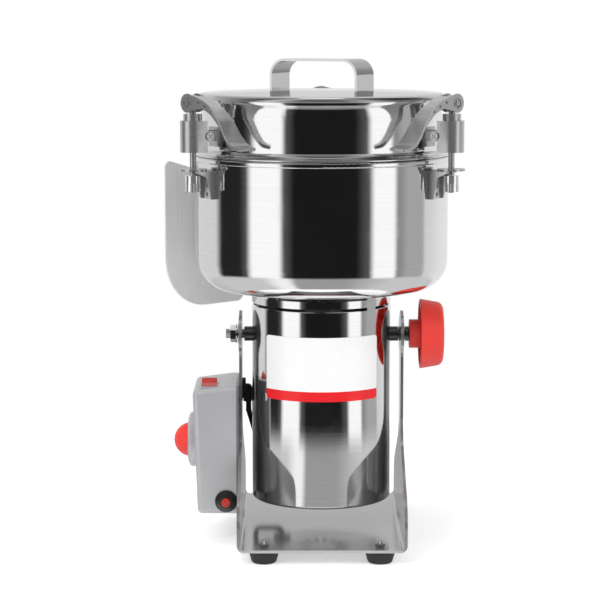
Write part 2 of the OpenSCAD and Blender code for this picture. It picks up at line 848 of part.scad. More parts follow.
module motor_bearings() {
    color(steel) for (z = bell_z) {
        translate([0, 0, z + clear]) ring(bearing_r - fit, shaft_r + fit, bearing_w);
    }
}

module motor_gland() {
    flange_r = 7.5;
    flange_t = 3;
    bore_r = lead_r + fit;
    color(black) translate([gland_at[0], gland_at[1], 0]) difference() {
        union() {
            translate([0, 0, motor_bottom_z - flange_t]) cylinder(r = flange_r, h = flange_t);
            translate([0, 0, motor_bottom_z - cut]) cylinder(r = gland_r - fit, h = motor_wall + 4 * cut);
        }
        translate([0, 0, motor_bottom_z - flange_t - cut])
            cylinder(r = bore_r, h = flange_t + motor_wall + 6 * cut, $fn = 32);
    }
}

// Round bar between two points
module strut(a, b, r) {
    v = b - a;
    translate(a) rotate([0, acos(v[2] / norm(v)), atan2(v[1], v[0])])
        cylinder(r = r, h = norm(v), $fn = 32);
}

// Quarter bend of the lead, from the end of a run along +X up to a run along +Z
module lead_bend(r) {
    translate([0, 0, r]) rotate([-90, 0, 0]) rotate_extrude(angle = 90)
        translate([r, 0]) circle(r = lead_r, $fn = 32);
}

// The motor's lead, from its gland out and up between motor and ear to the grommet's boot
module motor_lead() {
    bend = 5;
    low_z = motor_bottom_z - 8.6;
    low_x = -motor_r + 2.1;
    lead_x = boot_x + 0.7;
    low_y = gland_at[1];
    joint_r = lead_r + 4 * fit;
    top = [lead_x, grommet_y, grommet_z];
    knee = [lead_x, grommet_y, pivot_z - swing_r * 1.11];
    ankle = [low_x, low_y, knee[2] - 24];
    foot = [low_x, low_y, low_z + bend];
    run_l = gland_at[0] - 2 * bend - low_x;
    color(black) difference() {
        union() {
            strut(knee, top, lead_r);
            translate(knee) sphere(r = joint_r, $fn = 32);
            strut(knee, ankle, lead_r);
            translate(ankle) sphere(r = joint_r, $fn = 32);
            strut(foot, ankle, lead_r);
            translate([low_x + bend, low_y, low_z]) mirror([1, 0, 0]) lead_bend(bend);
            translate([low_x + bend, low_y, low_z]) rotate([0, 90, 0])
                cylinder(r = lead_r, h = run_l, $fn = 32);
            translate([gland_at[0] - bend, low_y, low_z]) lead_bend(bend);
            translate([gland_at[0], low_y, low_z + bend])
                cylinder(r = lead_r, h = motor_bottom_z + 3 - low_z - bend, $fn = 32);
        }
        translate([0, 0, pivot_z]) rod_x(-ear_in, 0, swing_r + gap);
    }
}

module label_plate() {
    half_chord = motor_r * sin(label_angle);
    label_r = 2.5;
    color("white") intersection() {
        translate([0, 0, label_bottom_z]) ring(motor_r + label_t, motor_r + touch, label_h);
        rotate([90, 0, 0]) translate([0, label_bottom_z + label_h / 2, 0])
            soft_block(2 * half_chord, label_h, 2 * motor_r, label_r);
    }
}

module trunnion_bosses() {
    color(steel) translate([0, 0, pivot_z]) for (s = [-1, 1]) {
        intersection() {
            ring_x(s * (boss_in - 2), s * (motor_r + cut), boss_r, stud_r);
            translate([0, 0, -boss_r - cut]) cylinder(r = inner_motor_r, h = 2 * (boss_r + cut));
        }
    }
}

module trunnion_studs() {
    slot_w = 1.2;
    slot_depth = 1.4;
    color(steel) translate([0, 0, pivot_z]) difference() {
        union() {
            rod_x(-boss_in, stud_left_end, stud_r - fit / 2);
            rod_x(boss_in, stud_right_end, stud_r - fit / 2);
        }
        translate([stud_left_end - cut, -slot_w / 2, -stud_r - cut])
            cube([slot_depth + cut, slot_w, 2 * (stud_r + cut)]);
    }
}

module pivot_spacers() {
    color(dark_steel) translate([0, 0, pivot_z]) for (s = [-1, 1]) {
        difference() {
            ring_x(s * (motor_r - 2 * cut), s * (ear_in - ear_play), spacer_r, stud_r);
            translate([0, 0, -spacer_r - cut])
                cylinder(r = motor_r + touch, h = 2 * (spacer_r + cut), $fn = fine);
        }
    }
}

module trunnion_nut() {
    nut_w = 13;
    nut_h = 5.8;
    flange_r = 8;
    flange_t = 1.2;
    color(steel) translate([-ear_out - ear_play - nut_h, 0, pivot_z]) rotate([0, 90, 0]) difference() {
        union() {
            cylinder(r = nut_w / 2 / cos(30), h = nut_h - flange_t / 2, $fn = 6);
            translate([0, 0, nut_h - flange_t]) cylinder(r = flange_r, h = flange_t);
        }
        translate([0, 0, -cut]) cylinder(r = stud_r, h = nut_h + 2 * cut);
    }
}

module knob_washer() {
    washer_r = 6.3;
    color(dark_steel) translate([0, 0, pivot_z])
        ring_x(washer_from, washer_from + washer_t, washer_r, stud_r);
}

// Rotor and blades
seat_r = shaft_r - 1;
tip_r = shaft_r * 0.65;
hub_z = chamber_floor_z + 2;
hub_h = 8;
blade_t = 2.2;
blade_spacer_h = 10;
lower_blade_z = hub_z + hub_h;
spacer_z = lower_blade_z + blade_t;
upper_blade_z = spacer_z + blade_spacer_h;
nut_z = upper_blade_z + blade_t;
blade_nut_h = 7.6;
tip_h = 4;

module motor_shaft() {
    shaft_bottom_z = bell_z[0] - 2;
    centre_r = 1;
    centre_h = 3;
    color(steel) difference() {
        union() {
            translate([0, 0, shaft_bottom_z]) cylinder(r = shaft_r, h = hub_z - touch - shaft_bottom_z);
            translate([0, 0, hub_z - cut]) cylinder(r = seat_r - fit, h = nut_z - touch - hub_z + cut);
            translate([0, 0, nut_z - cut]) cylinder(r = tip_r - fit, h = blade_nut_h + tip_h + cut);
        }
        translate([0, 0, shaft_bottom_z - cut]) cylinder(r = centre_r, h = centre_h + cut);
    }
}

module armature() {
    slots = 12;
    slot_depth = 4.5;
    slot_w = 2;
    end_r = 22;
    color(dark_steel) translate([0, 0, stator_z]) difference() {
        union() {
            cylinder(r = armature_r, h = stator_h);
            translate([0, 0, -winding_over]) cylinder(r = end_r, h = stator_h + 2 * winding_over);
        }
        translate([0, 0, -winding_over - cut])
            cylinder(r = shaft_r, h = stator_h + 2 * (winding_over + cut));
        for (i = [0:slots - 1]) {
            rotate([0, 0, i * 360 / slots]) translate([armature_r - slot_depth, -slot_w / 2, -cut])
                cube([slot_depth + cut, slot_w, stator_h + 2 * cut]);
        }
    }
}

module commutator() {
    bars = 12;
    com_r = 16;
    com_h = 14;
    com_rise = 16;
    groove_depth = 3;
    color(copper) translate([0, 0, bell_z[0] + com_rise]) difference() {
        cylinder(r = com_r, h = com_h);
        translate([0, 0, -cut]) cylinder(r = shaft_r, h = com_h + 2 * cut);
        for (i = [0:bars - 1]) {
            rotate([0, 0, i * 360 / bars]) translate([com_r - groove_depth, -gap, -cut])
                cube([groove_depth + cut, 2 * gap, com_h + 2 * cut]);
        }
    }
}

module cooling_fan() {
    fins = 9;
    fan_r = 42;
    disc_t = 2;
    fan_hub_r = 12;
    fan_hub_h = 14;
    fin_from = 14;
    fin_rake = 18;
    fin_t = 1.6;
    fin_h = 11;
    color(black) translate([0, 0, bell_z[1] - fan_hub_h - fan_hub_r]) difference() {
        union() {
            cylinder(r = fan_r, h = disc_t);
            cylinder(r = fan_hub_r, h = fan_hub_h);
            for (i = [0:fins - 1]) {
                rotate([0, 0, i * 360 / fins]) translate([fin_from, 0, disc_t / 2]) rotate([0, 0, fin_rake])
                    cube([fan_r - fin_from - 2 * disc_t, fin_t, fin_h]);
            }
        }
        translate([0, 0, -cut]) cylinder(r = shaft_r, h = fan_hub_h + 2 * cut);
    }
}

module blade_hub() {
    hub_r = 12;
    spacer_out_r = 9;
    color(steel) {
        translate([0, 0, hub_z]) ring(hub_r, seat_r, hub_h);
        translate([0, 0, spacer_z]) ring(spacer_out_r, seat_r, blade_spacer_h);
    }
}

// Flat two-armed blade with bevelled tips
module blade(reach, width, bore_r) {
    difference() {
        linear_extrude(blade_t) polygon(
            [[reach, width * 0.1], [reach - width * 0.9, width / 2], [-width / 2, width / 2],
                [-reach, -width * 0.1], [-reach + width * 0.9, -width / 2], [width / 2, -width / 2]]);
        translate([0, 0, -cut]) cylinder(r = bore_r, h = blade_t + 2 * cut);
    }
}

module lower_blade() {
    lower_w = 26;
    color(steel) translate([0, 0, lower_blade_z]) rotate([0, 0, 20]) blade(blade_r, lower_w, seat_r);
}

module upper_blade() {
    upper_w = 24;
    color(steel) translate([0, 0, upper_blade_z]) rotate([0, 0, 110])
        blade(blade_r * 0.82, upper_w, seat_r);
}

module blade_nut() {
    flange_r = 9;
    flange_t = 1.6;
    nut_r = 7.5;
    color(steel) translate([0, 0, nut_z]) difference() {
        union() {
            cylinder(r = flange_r, h = flange_t);
            cylinder(r = nut_r, h = blade_nut_h, $fn = 6);
        }
        translate([0, 0, -cut]) cylinder(r = tip_r, h = blade_nut_h + 2 * cut);
    }
}

module clamp_knob() {
    rake = 3.4;
    rim = knob_d / 2;
    shell = 3;
    hollow_h = knob_depth * 0.45;
    crown_h = 0.8;
    edge_r = 6;
    rib_t = 2;
    color(red) translate([knob_from, 0, pivot_z]) rotate([0, 90, 0]) difference() {
        union() {
            cylinder(r = knob_hub_d / 2, h = knob_depth);
            translate([0, 0, knob_hub_l]) rotate_extrude() difference() {
                polygon(rounded(
                    [[0, 0], [rim, 0], [rim - rake, knob_depth], [0, knob_depth + crown_h]],
                    [0, crown_h, edge_r, 0]));
                polygon(rounded(
                    [[0, -cut], [rim - shell, -cut], [rim - shell - rake / 2, hollow_h], [0, hollow_h]],
                    [0, 0, shell, 0]));
            }
            for (a = [0:60:300]) {
                rotate([0, 0, a]) translate([0, -rib_t / 2, knob_hub_l + shell])
                    cube([rim - rake, rib_t, hollow_h]);
            }
        }
        translate([0, 0, -cut]) cylinder(r = stud_r, h = stud_right_end - knob_from + cut + gap);
    }
}

// Bowl
shell_t = 1.5;
rim_h = 4.6;
base_hole_r = 20;
floor_t = 3;
chamber_wall = 2;
chamber_lip = 6;

module bowl_shell() {
    hole_share = 0.37;
    color(steel) difference() {
        rotate_extrude() difference() {
            union() {
                translate([0, bowl_bottom_z + bowl_round_r]) square([bowl_r, bowl_h - rim_h - bowl_round_r]);
                translate([0, bowl_bottom_z]) square([bowl_r - bowl_round_r, bowl_round_r + cut]);
                translate([bowl_r - bowl_round_r, bowl_bottom_z + bowl_round_r]) circle(r = bowl_round_r);
            }
            translate([0, bowl_bottom_z + bowl_round_r]) square([bowl_r - shell_t, rim_z]);
            translate([0, bowl_bottom_z + shell_t]) square([bowl_r - bowl_round_r, bowl_round_r + cut]);
            translate([bowl_r - bowl_round_r, bowl_bottom_z + bowl_round_r])
                circle(r = bowl_round_r - shell_t);
            translate([-bowl_r, bowl_bottom_z - cut]) square([bowl_r, rim_z]);
        }
        translate([0, 0, bowl_bottom_z - cut]) cylinder(r = bowl_r * hole_share, h = shell_t + 2 * cut);
    }
}

module bowl_base_ring() {
    ring_h = chamber_rise - floor_t - shell_t;
    ring_r = bowl_r * 0.65;
    hole_at = ring_r * 0.69;
    hole_r = ring_r * 0.17;
    color(satin) translate([0, 0, bowl_bottom_z + shell_t]) difference() {
        cylinder(r = ring_r, h = ring_h);
        translate([0, 0, -cut]) cylinder(r = base_hole_r, h = ring_h + 2 * cut);
        for (a = [0:60:300]) {
            rotate([0, 0, a]) translate([hole_at, 0, -cut]) cylinder(r = hole_r, h = ring_h + 2 * cut);
        }
    }
}

module grinding_chamber() {
    round_r = 8;
    low_z = chamber_floor_z - floor_t;
    out_r = chamber_r + chamber_wall;
    hole_r = shaft_r + cut;
    inner_round_r = round_r - chamber_wall / 2;
    color(steel) rotate_extrude() difference() {
        union() {
            translate([hole_r, low_z]) square([out_r - round_r - hole_r, floor_t + round_r]);
            translate([0, low_z + round_r]) square([out_r, rim_z - low_z - round_r]);
            translate([out_r - round_r, low_z + round_r]) circle(r = round_r);
            translate([chamber_r, rim_z - chamber_wall]) square([chamber_lip, chamber_wall]);
        }
        translate([0, chamber_floor_z + inner_round_r]) square([chamber_r, rim_z]);
        translate([0, chamber_floor_z]) square([chamber_r - inner_round_r, inner_round_r + cut]);
        translate([chamber_r - inner_round_r, chamber_floor_z + inner_round_r]) circle(r = inner_round_r);
        translate([-cut, low_z - cut]) square([hole_r + cut, rim_z]);
    }
}

module bowl_rim() {
    edge = 1.2;
    inner = chamber_r + chamber_wall + fit;
    color(steel) translate([0, 0, rim_z - rim_h]) rotate_extrude() difference() {
        union() {
            translate([inner, 0]) square([rim_r - edge - inner, rim_h]);
            translate([inner, edge]) square([rim_r - inner, rim_h - 2 * edge]);
            for (z = [edge, rim_h - edge]) {
                translate([rim_r - edge, z]) circle(r = edge);
            }
        }
        translate([0, rim_h - chamber_wall - fit])
            square([chamber_r + chamber_lip + fit, chamber_wall + fit + cut]);
    }
}

latch_azimuths = [210, 330, 90];
prong_t = 1.7;
prong_drop = 11.4;
prong_z = rim_z - prong_drop;
bracket_drop = 33;

module latch_brackets() {
    half = 10;
    back_t = 2;
    gusset_t = 2;
    low_z = rim_z - bracket_drop;
    deep = 3.6;
    slot_r = rod_r + 0.6;
    hole_r = 1.8;
    color(steel) for (a = latch_azimuths) {
        rotate([0, 0, a]) difference() {
            union() {
                translate([bowl_r - back_t, -half, low_z])
                    cube([2 * back_t, 2 * half, prong_z + prong_t - low_z]);
                translate([bowl_r, -half, prong_z]) cube([rod_out, 2 * half, prong_t]);
                for (y = [gusset_t - half, half]) {
                    translate([0, y, 0]) rotate([90, 0, 0]) linear_extrude(gusset_t) polygon(
                        [[bowl_r, low_z], [bowl_r + deep, low_z], [bowl_r + 2 * deep, prong_z - deep],
                            [rod_at, prong_z], [bowl_r, prong_z + prong_t / 2]]);
                }
            }
            translate([0, 0, low_z - cut]) cylinder(r = bowl_r + touch, h = bracket_drop, $fn = fine);
            translate([rod_at, 0, prong_z - cut]) cylinder(r = slot_r, h = prong_t + 2 * cut);
            for (z = [low_z + deep, low_z + 3 * deep]) {
                translate([bowl_r - cut, 0, z]) rotate([0, 90, 0]) cylinder(r = hole_r, h = 3 * back_t);
            }
        }
    }
}

guard_gap = 1.6;
guard_t = 1.4;
guard_near = -8;

module guard_outline() {
    bottom_z = bowl_bottom_z - guard_drop;
    top_z = rim_z - guard_top_drop;
    drop = (guard_len - guard_near) * tan(guard_slope);
    radii = [8, 45, 5, 4];
    polygon(rounded(
        [[guard_near, bottom_z], [guard_len, bottom_z], [guard_len, top_z], [guard_near, top_z - drop]],
        radii));
}

module side_guard() {
    pin_r = 4;
    head_t = 1.2;
    pin_y = -2;
    off = bowl_r + guard_gap;
    color(steel) rotate([0, 0, guard_azimuth]) {
        slab_x(off, off + guard_t) guard_outline();
        for (share = [0.3, 0.6]) {
            translate([0, pin_y, bowl_bottom_z + bowl_h * share]) difference() {
                rotate([0, 90, 0]) cylinder(r = pin_r, h = off + guard_t + head_t);
                translate([0, -pin_y, -pin_r - cut])
                    cylinder(r = bowl_r + touch, h = 2 * (pin_r + cut), $fn = fine);
            }
        }
    }
}

// Lid
lid_t = 1.6;
flange_t = 1.8;
flange_low = rim_z + gap;
seal_t = 1.4;
seal_in = 3.6;
seal_w = 4.2;
brim_edge_r = 5;
crown_base_r = brim_r - brim_edge_r;
crown_ball_r = (crown_base_r * crown_base_r + lid_crown * lid_crown) / (2 * lid_crown);

// Height of the lid's crowned top at the distance x from its axis
function crown_z(x) = lid_top_z + lid_crown - crown_ball_r + sqrt(crown_ball_r * crown_ball_r - x * x);

module lid_shell() {
    sweep_r = 24;
    throat_r = 4.5;
    crown_steps = 16;
    reach = brim_edge_r + sweep_r;
    sweep_x = lid_wall_r + sweep_r;
    edge_z = lid_top_z - brim_edge_r;
    lean = sweep_x - crown_base_r;
    sweep_z = edge_z - sqrt(reach * reach - lean * lean);
    meet_x = crown_base_r + lean * brim_edge_r / reach;
    meet_z = edge_z + (sweep_z - edge_z) * brim_edge_r / reach;
    color(steel) rotate_extrude() difference() {
        union() {
            translate([0, flange_low]) square([lid_flange_r - flange_t / 2, flange_t]);
            translate([lid_flange_r - flange_t / 2, flange_low + flange_t / 2]) circle(r = flange_t / 2);
            translate([0, flange_low]) square([lid_wall_r, sweep_z + cut - flange_low]);
            translate([0, sweep_z]) square([crown_base_r, lid_top_z - sweep_z]);
            translate([crown_base_r, edge_z]) circle(r = brim_edge_r);
            difference() {
                translate([0, sweep_z]) square([meet_x, meet_z - sweep_z]);
                translate([sweep_x, sweep_z]) circle(r = sweep_r);
            }
            polygon(concat(
                [[0, lid_top_z - cut], [crown_base_r, lid_top_z - cut]],
                [for (i = [crown_steps:-1:0])
                    let (x = crown_base_r * i / crown_steps) [x, crown_z(x)]]));
            difference() {
                translate([lid_wall_r - cut, flange_low + flange_t - cut]) square(throat_r + cut);
                translate([lid_wall_r + throat_r, flange_low + flange_t + throat_r]) circle(r = throat_r);
            }
        }
        translate([0, flange_low - cut])
            square([lid_wall_r - lid_t, lid_top_z - lid_t - flange_low + cut]);
        translate([0, flange_low - cut]) square([lid_wall_r - seal_in + seal_w + clear, cut + seal_t - 0.2]);
        translate([-brim_r, 0]) square([brim_r, 2 * lid_top_z]);
    }
}

module lid_inner_plate() {
    plate_rise = 3;
    plate_t = 1.6;
    spigot_h = 10.5;
    spigot_r = chamber_r - 2 * gap;
    color(steel) {
        translate([0, 0, rim_z + plate_rise]) cylinder(r = lid_wall_r - lid_t - fit, h = plate_t);
        translate([0, 0, rim_z + plate_rise + clear - spigot_h])
            ring(spigot_r, spigot_r - plate_t, spigot_h);
    }
}

module lid_gasket() {
    seal_r = lid_wall_r - seal_in;
    color(satin) translate([0, 0, rim_z + touch]) ring(seal_r + seal_w, seal_r, seal_t);
}

module lid_handle() {
    band_t = 2;
    round_out = 14;
    half = handle_span / 2;
    foot_z = crown_z(half - band_t) + touch;
    rise = handle_top_z - foot_z;
    color(steel) rotate([0, 0, handle_turn]) translate([0, handle_w / 2, foot_z]) rotate([90, 0, 0])
        linear_extrude(handle_w) difference() {
            intersection() {
                union() {
                    translate([-half, 0]) square([handle_span, rise - round_out]);
                    translate([round_out - half, 0]) square([handle_span - 2 * round_out, rise]);
                    for (s = [-1, 1]) {
                        translate([s * (half - round_out), rise - round_out]) circle(r = round_out);
                    }
                }
                translate([-half, 0]) square([handle_span, rise]);
            }
            translate([band_t - half, -cut]) square([handle_span - 2 * band_t, rise - round_out + cut]);
            translate([round_out - half, -cut])
                square([handle_span - 2 * round_out, rise - band_t + cut]);
            for (s = [-1, 1]) {
                translate([s * (half - round_out), rise - round_out]) circle(r = round_out - band_t);
            }
        }
}

// Latches
ear_half = 7.8;
ear_t = 2;
pin_r = 2;

// Side shape of one cheek of a latch ear, from the lid's wall to its round end
module ear_cheek() {
    round_r = 4.2;
    root_x = lid_wall_r - cut;
    half = round_r - 0.1;
    difference() {
        union() {
            translate([hinge_at, 0]) circle(r = round_r);
            translate([root_x, -half]) square([hinge_at - root_x, 2 * half]);
        }
        translate([hinge_at, 0]) circle(r = pin_r + fit);
    }
}

module latch_ears() {
    foot_h = 16;
    foot_t = 1.8;
    color(steel) for (a = latch_azimuths) {
        rotate([0, 0, a]) difference() {
            union() {
                translate([lid_wall_r - 2 * cut, -ear_half, hinge_z - foot_h * 0.56])
                    cube([foot_t + 2 * cut, 2 * ear_half, foot_h]);
                for (y = [-ear_half + ear_t + fit, ear_half - fit]) {
                    translate([0, y, hinge_z]) rotate([90, 0, 0]) linear_extrude(ear_t) ear_cheek();
                }
            }
            translate([0, 0, hinge_z - foot_h])
                cylinder(r = lid_wall_r + touch, h = 2 * foot_h, $fn = fine);
        }
    }
}

strap_r = 10.4;
strap_t = 2;

module latch_pins() {
    head_r = 3.3;
    head_h = 1.6;
    slot_w = 0.7;
    slot_depth = 0.7;
    half = strap_r + gap;
    color(steel) for (a = latch_azimuths) {
        rotate([0, 0, a]) translate([hinge_at, 0, hinge_z]) rotate([90, 0, 0]) difference() {
            union() {
                cylinder(r = pin_r, h = 2 * half, center = true);
                for (s = [-1, 1]) {
                    translate([0, 0, s * (half + head_h / 2)])
                        cylinder(r = head_r, h = head_h, center = true);
                }
            }
            for (s = [-1, 1], turn = [45, 135]) {
                translate([0, 0, s * (half + head_h)]) rotate([0, 0, turn])
                    cube([head_r * 1.4, slot_w, 2 * slot_depth], center = true);
            }
        }
    }
}

strap_low_z = rim_z + 5.8;
strap_high_z = rim_z + 31.6;
eye_pin_r = 4.4;
lever_half = 6.2;
cheek_t = 1.7;

// Strap, rod, bushes and nut of one latch, in the latch's own plane along +X
module latch_swing(turn) {
    strap_h = strap_high_z - strap_low_z;
    inner_r = strap_r - strap_t;
    leg_from = hinge_at + 1.6;
    leg_r = 4.4;
    tab_l = 3.4;
    bush_r = 7.7;
    bush_h = 5.6;
    disc_r = 11.4;
    disc_t = 1.6;
    nut_r = 6.45;
    nut_top = prong_z - 1.9;
    nut_h = 13.2;
    rod_low_z = nut_top - nut_h - cut;
    knurls = 16;
    knurl_r = 0.5;
    head_r = 6.4;
    pin_half = lever_half + clear;
    groove_depth = 1.4;
    difference() {
        union() {
            translate([rod_at, 0, strap_low_z]) difference() {
                cylinder(r = strap_r, h = strap_h);
                translate([0, 0, strap_t]) cylinder(r = inner_r, h = strap_h - 2 * strap_t);
                translate([-2 * strap_r, -inner_r, strap_t])
                    cube([2 * strap_r, 2 * inner_r, strap_h - 2 * strap_t]);
                translate([-2 * strap_r, -strap_r - cut, -cut])
                    cube([2 * strap_r, 2 * (strap_r + cut), strap_h + 2 * cut]);
            }
            for (s = [-1, 1]) {
                translate([0, s * (strap_r - strap_t / 2), 0]) rotate([90, 0, 0]) {
                    translate([leg_from, strap_low_z, -strap_t / 2])
                        cube([rod_at - leg_from + fit, strap_h, strap_t]);
                    translate([hinge_at, hinge_z, 0]) cylinder(r = leg_r, h = strap_t, center = true);
                }
            }
            for (z = [strap_low_z, strap_high_z - strap_t]) {
                translate([rod_at - tab_l, -strap_r, z]) cube([tab_l + fit, 2 * strap_r, strap_t]);
            }
        }
        translate([hinge_at, 0, hinge_z]) rotate([90, 0, 0])
            cylinder(r = pin_r + fit, h = 4 * strap_r, center = true);
        translate([rod_at, 0, strap_low_z - cut]) cylinder(r = rod_r + fit, h = strap_h + 2 * cut);
    }
    translate([rod_at, 0, 0]) {
        translate([0, 0, rod_low_z]) cylinder(r = rod_r, h = eye_z - rod_low_z);
        translate([0, 0, strap_high_z + touch]) ring(bush_r, rod_r + fit, bush_h);
        translate([0, 0, prong_z + prong_t + gap]) ring(disc_r, rod_r + fit, disc_t);
        translate([0, 0, nut_top - nut_h]) difference() {
            cylinder(r = nut_r, h = nut_h);
            translate([0, 0, -cut]) cylinder(r = rod_r + fit, h = nut_h + 2 * cut);
            for (i = [0:knurls - 1]) {
                rotate([0, 0, i * 360 / knurls]) translate([nut_r + knurl_r / 2, 0, -cut])
                    cylinder(r = knurl_r, h = nut_h * 0.6);
            }
        }
        translate([0, 0, eye_z]) rotate([0, 0, turn]) rotate([90, 0, 0]) difference() {
            union() {
                cylinder(r = head_r, h = 2 * (lever_half - cheek_t - clear), center = true);
                cylinder(r = eye_pin_r - fit / 2, h = 2 * pin_half, center = true);
            }
            ring_pair(eye_pin_r * 0.84, eye_pin_r / 2, groove_depth + cut, pin_half - groove_depth);
        }
    }
}

// Two small rings either side of z = 0
module ring_pair(r_out, r_in, t, off) {
    for (s = [-1, 1]) {
        translate([0, 0, s * (off + t / 2) - t / 2]) ring(r_out, r_in, t);
    }
}

module latch_left() {
    color(steel) rotate([0, 0, latch_azimuths[0]]) latch_swing(90 + lever_turn);
}

module latch_right() {
    color(steel) rotate([0, 0, latch_azimuths[1]]) latch_swing(-90 - lever_turn);
}

module latch_rear() {
    color(steel) rotate([0, 0, latch_azimuths[2]]) latch_swing(-90 - lever_turn);
}

// Side outline of a lever from its eye at the origin out to its curled tip, as shares of its reach
top_shares = [[0, 0.118], [0.152, 0.085], [0.303, 0.036], [0.47, -0.052], [0.621, -0.197],
    [0.742, -0.371], [0.856, -0.485], [1, -0.524]];
under_shares = [[1, -0.561], [0.848, -0.538], [0.72, -0.433], [0.583, -0.265], [0.439, -0.127],
    [0.28, -0.055], [0.121, -0.083], [0, -0.118]];
radius_shares = [0, 0.3, 0.36, 0.36, 0.45, 0.3, 0.21, 0.015, 0.015, 0.18, 0.36, 0.45, 0.45, 0.21, 0.09, 0];
hole_shares = [[0.212, 0.014], [0.333, -0.033], [0.447, -0.091]];

module lever_side() {
    polygon(rounded(lever_reach * concat(top_shares, under_shares), lever_reach * radius_shares));
    circle(r = eye_r);
}

// The same outline, only as thick as the sheet along its upper edge
module lever_back() {
    skin = 2;
    n = len(top_shares);
    top = lever_reach * top_shares;
    shift = [for (i = [n - 1:-1:0]) top[i] - [skin / 2, skin]];
    low_radii = [for (i = [n - 1:-1:0]) i == 0 || i == n - 1 ? 0 : lever_reach * 0.21];
    top_radii = [for (i = [0:n - 1]) i == n - 1 ? 0 : lever_reach * radius_shares[i]];
    intersection() {
        polygon(rounded(concat(top, shift), concat(top_radii, low_radii)));
        translate([eye_r * 1.15, -lever_reach]) square(2 * lever_reach);
    }
}

// Lever with two cheeks, a curved back that widens to the tip, and a hollow eye
module lever(turn) {
    tip_half = 9.5;
    hole_r = 1.2;
    widen_from = lever_reach * 0.42;
    widen_to = lever_reach * 0.82;
    end_x = lever_reach + cut;
    translate([rod_at, 0, eye_z]) rotate([0, 0, turn]) difference() {
        union() {
            for (y = [cheek_t - lever_half, lever_half]) {
                translate([0, y, 0]) rotate([90, 0, 0]) linear_extrude(cheek_t) lever_side();
            }
            intersection() {
                translate([0, tip_half, 0]) rotate([90, 0, 0]) linear_extrude(2 * tip_half) lever_back();
                translate([0, 0, -lever_reach]) linear_extrude(2 * lever_reach) polygon(
                    [[0, -lever_half], [widen_from, -lever_half], [widen_to, -tip_half],
                        [end_x, -tip_half], [end_x, tip_half], [widen_to, tip_half],
                        [widen_from, lever_half], [0, lever_half]]);
            }
        }
        rotate([90, 0, 0]) cylinder(r = eye_pin_r + fit, h = 4 * lever_half, center = true);
        for (p = lever_reach * hole_shares) {
            translate([p[0], 0, p[1]]) rotate([90, 0, 0])
                cylinder(r = hole_r, h = 4 * lever_half, center = true);
        }
    }
}

module lever_left() {
    color(steel) rotate([0, 0, latch_azimuths[0]]) lever(90 + lever_turn);
}

module lever_right() {
    color(steel) rotate([0, 0, latch_azimuths[1]]) lever(-90 - lever_turn);
}

module lever_rear() {
    color(steel) rotate([0, 0, latch_azimuths[2]]) lever(-90 - lever_turn);
}

cradle();
rubber_feet();
foot_screws();
control_box();
box_back_plate();
box_screws();
timer_dial();
timer_unit();
switch_frame();
reset_switch();
terminal_block();
cord_gland();
lead_grommet();
timer_knob();
timer_spindle();
power_rocker();
reset_button();
motor_housing();
vent_collar();
end_bells();
stator_core();
field_windings();
carbon_brushes();
motor_bearings();
motor_gland();
motor_lead();
label_plate();
trunnion_bosses();
trunnion_studs();
pivot_spacers();
trunnion_nut();
knob_washer();
motor_shaft();
armature();
commutator();
cooling_fan();
blade_hub();
lower_blade();
upper_blade();
blade_nut();
clamp_knob();
bowl_shell();
bowl_base_ring();
grinding_chamber();
bowl_rim();
latch_brackets();
side_guard();
lid_shell();
lid_inner_plate();
lid_gasket();
lid_handle();
latch_ears();
latch_pins();
latch_left();
latch_right();
latch_rear();
lever_left();
lever_right();
lever_rear();
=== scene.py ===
import json
import math

import bmesh
import bpy
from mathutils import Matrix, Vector

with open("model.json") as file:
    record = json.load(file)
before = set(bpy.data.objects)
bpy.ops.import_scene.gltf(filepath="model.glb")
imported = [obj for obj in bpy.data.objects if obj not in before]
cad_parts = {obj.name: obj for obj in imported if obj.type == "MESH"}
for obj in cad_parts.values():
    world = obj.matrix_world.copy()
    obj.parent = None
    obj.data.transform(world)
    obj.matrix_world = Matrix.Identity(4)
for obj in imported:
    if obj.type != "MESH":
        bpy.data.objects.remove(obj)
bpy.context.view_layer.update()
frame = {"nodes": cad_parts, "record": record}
nodes = frame["nodes"]
scene = bpy.context.scene
scene.view_settings.view_transform = "Standard"

# All lengths are in metres.
# The camera stands in front of the motor's axis, a little to its left and above the bowl.
camera_data = bpy.data.cameras.new("photo_camera")
camera_data.lens = 126.0
camera_data.sensor_width = 36.0
camera_data.clip_start = 0.05
camera_data.clip_end = 50.0
camera = bpy.data.objects.new("photo_camera", camera_data)
camera.location = (-0.0182, -1.785, 0.4475)
camera.rotation_euler = (math.radians(82.3), 0.0, 0.0)
scene.collection.objects.link(camera)
scene.camera = camera

# A noise's values mostly lie between these two.
NOISE_LOW = 0.3
NOISE_HIGH = 0.7
# Length of one wave of Blender's wave texture at scale 1
WAVE_LENGTH = 0.314
EVEN = (1.0, 1.0, 1.0)
WHITE = (1.0, 1.0, 1.0, 1.0)


# Node helpers

def material(name):
    """A new node material, its tree and its Principled shader."""
    made = bpy.data.materials.new(name)
    made.use_nodes = True
    return made, made.node_tree, made.node_tree.nodes["Principled BSDF"]


def bare_material(name):
    """A new node material, its tree and its output, with no shader yet."""
    made = bpy.data.materials.new(name)
    made.use_nodes = True
    made.node_tree.nodes.clear()
    return made, made.node_tree, node(made.node_tree, "ShaderNodeOutputMaterial")


def node(tree, kind, values=None, **settings):
    """A node with its settings and its constant inputs."""
    made = tree.nodes.new(kind)
    for key, value in settings.items():
        setattr(made, key, value)
    for key, value in (values or {}).items():
        made.inputs[key].default_value = value
    return made


def calc(tree, operation, first, second=None):
    """A Math node on sockets or plain floats."""
    made = node(tree, "ShaderNodeMath", operation=operation)
    for socket, value in zip(made.inputs, (first, second)):
        if isinstance(value, float):
            socket.default_value = value
        elif value is not None:
            tree.links.new(value, socket)
    return made.outputs["Value"]


